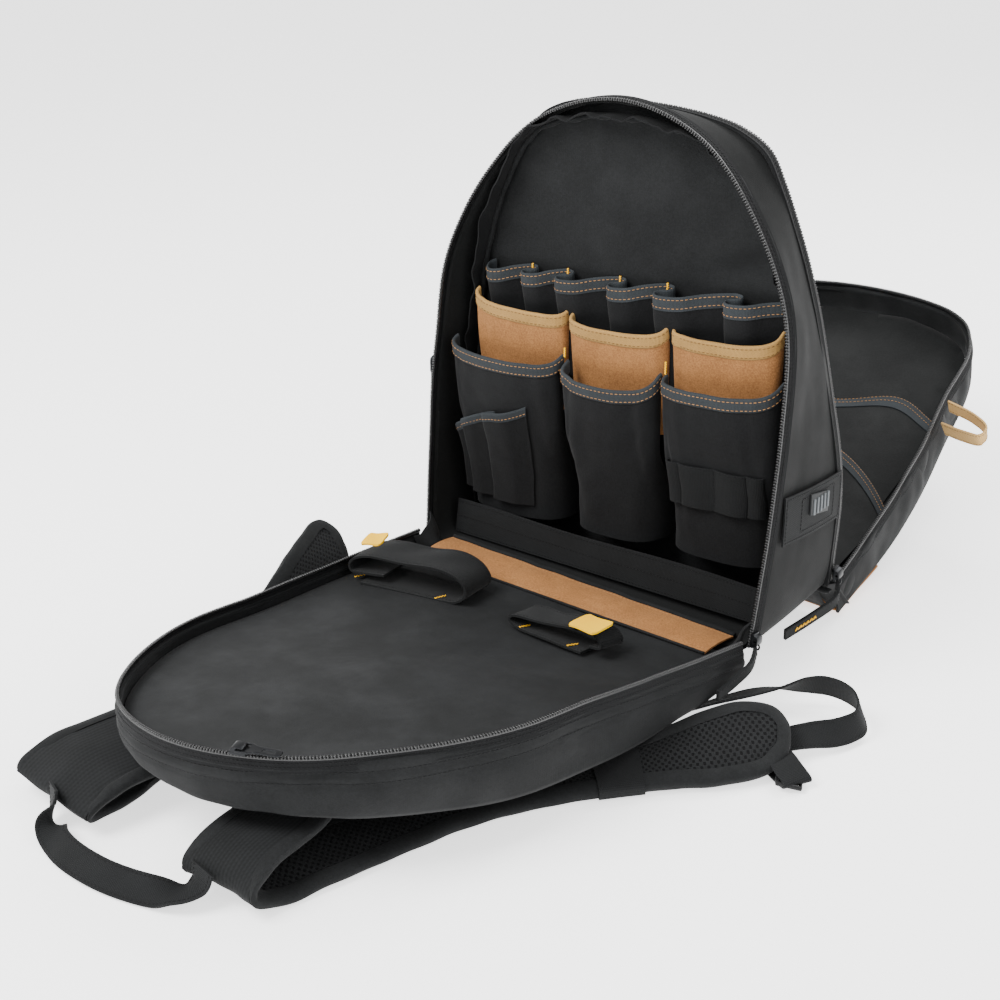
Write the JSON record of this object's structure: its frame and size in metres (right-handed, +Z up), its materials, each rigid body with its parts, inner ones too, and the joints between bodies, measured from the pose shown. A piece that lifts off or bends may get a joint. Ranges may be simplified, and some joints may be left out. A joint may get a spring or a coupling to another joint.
{
  "type": "tool backpack",
  "caption": "Tool backpack opened flat in its zip sections, with pocketed divider, harness tray, folded-back front panel and padded shoulder straps",
  "frame": {"origin": "middle of the foot of the opened bag's bounding box, on the floor", "axes": "+Z up, X along the hinge lines, -Y towards the harness tray, +Y towards the front panel"},
  "size_m": [0.571, 1.131, 0.491],
  "materials": {
    "black_cloth": "woven nylon, matt",
    "black_webbing": "webbing",
    "dark_metal": "dark plated",
    "grey_binding": "woven tape",
    "hard_plastic": "moulded",
    "mesh_cloth": "air mesh",
    "panel_cloth": "smooth lining cloth",
    "patch_rubber": "moulded ribs",
    "tan_binding": "woven tape",
    "tan_canvas": "woven canvas",
    "tan_webbing": "webbing",
    "yellow_webbing": "webbing",
    "zip_nylon": "nylon coil"
  },
  "bodies": {
    "root": {"main_gusset": "black_cloth", "front_zip_chain": "zip_nylon", "rear_zip_chain": "zip_nylon", "tray_zip_chain": "zip_nylon", "lid_zip_chain": "zip_nylon", "divider_panel": "black_cloth", "tan_pocket_left": "tan_canvas", "tan_pocket_left_binding": "tan_binding", "tan_pocket_middle": "tan_canvas", "tan_pocket_middle_binding": "tan_binding", "tan_pocket_right": "tan_canvas", "tan_pocket_right_binding": "tan_binding", "black_pocket_left": "black_cloth", "black_pocket_left_binding": "grey_binding", "black_pocket_middle": "black_cloth", "black_pocket_middle_binding": "grey_binding", "black_pocket_right": "black_cloth", "black_pocket_right_binding": "grey_binding", "sleeve_strip": "black_cloth", "sleeve_strip_binding": "grey_binding", "pen_sleeves": "black_cloth", "pen_sleeves_binding": "grey_binding", "loop_strip": "black_webbing", "foot_band": "black_webbing", "hinge_flap": "tan_canvas", "front_hinge_wall": "black_cloth", "rear_hinge_wall": "black_cloth", "tray_gusset": "black_cloth", "tray_lining": "panel_cloth", "tray_back": "mesh_cloth", "lumbar_pad": "mesh_cloth", "left_tool_strap": "black_webbing", "left_strap_tab": "yellow_webbing", "right_tool_strap": "black_webbing", "right_strap_tab": "yellow_webbing", "lid_gusset": "black_cloth", "lid_panel": "black_cloth", "lid_upper_pocket": "black_cloth", "lid_upper_pocket_binding": "grey_binding", "lid_lower_pocket": "black_cloth", "lid_lower_pocket_binding": "grey_binding", "lid_outer_pocket": "black_cloth", "tan_foot_panel": "tan_canvas", "tan_web_loop": "tan_webbing", "side_patch": "black_webbing", "ribbed_badge": "patch_rubber", "side_pocket": "black_cloth", "side_pocket_binding": "grey_binding", "tray_slider": "dark_metal", "front_slider": "dark_metal", "rear_slider": "dark_metal", "front_pull": "black_webbing", "rear_pull": "black_webbing", "right_shoulder_strap": "mesh_cloth", "left_shoulder_strap": "mesh_cloth", "pad_band": "black_webbing", "right_web_strap": "black_webbing", "ladder_lock": "hard_plastic", "grab_handle": "black_webbing"},
    "pull_tab": {"tray_pull_tab": "dark_metal"}
  },
  "joints": [
    {"name": "tray_pull_swing", "type": "hinge", "parent": "root", "child": "pull_tab", "pos_m": [0.00564, -0.48113, 0.1159], "axis": [0.361, -0.9326, 0], "range_deg": [0, 150]}
  ]
}
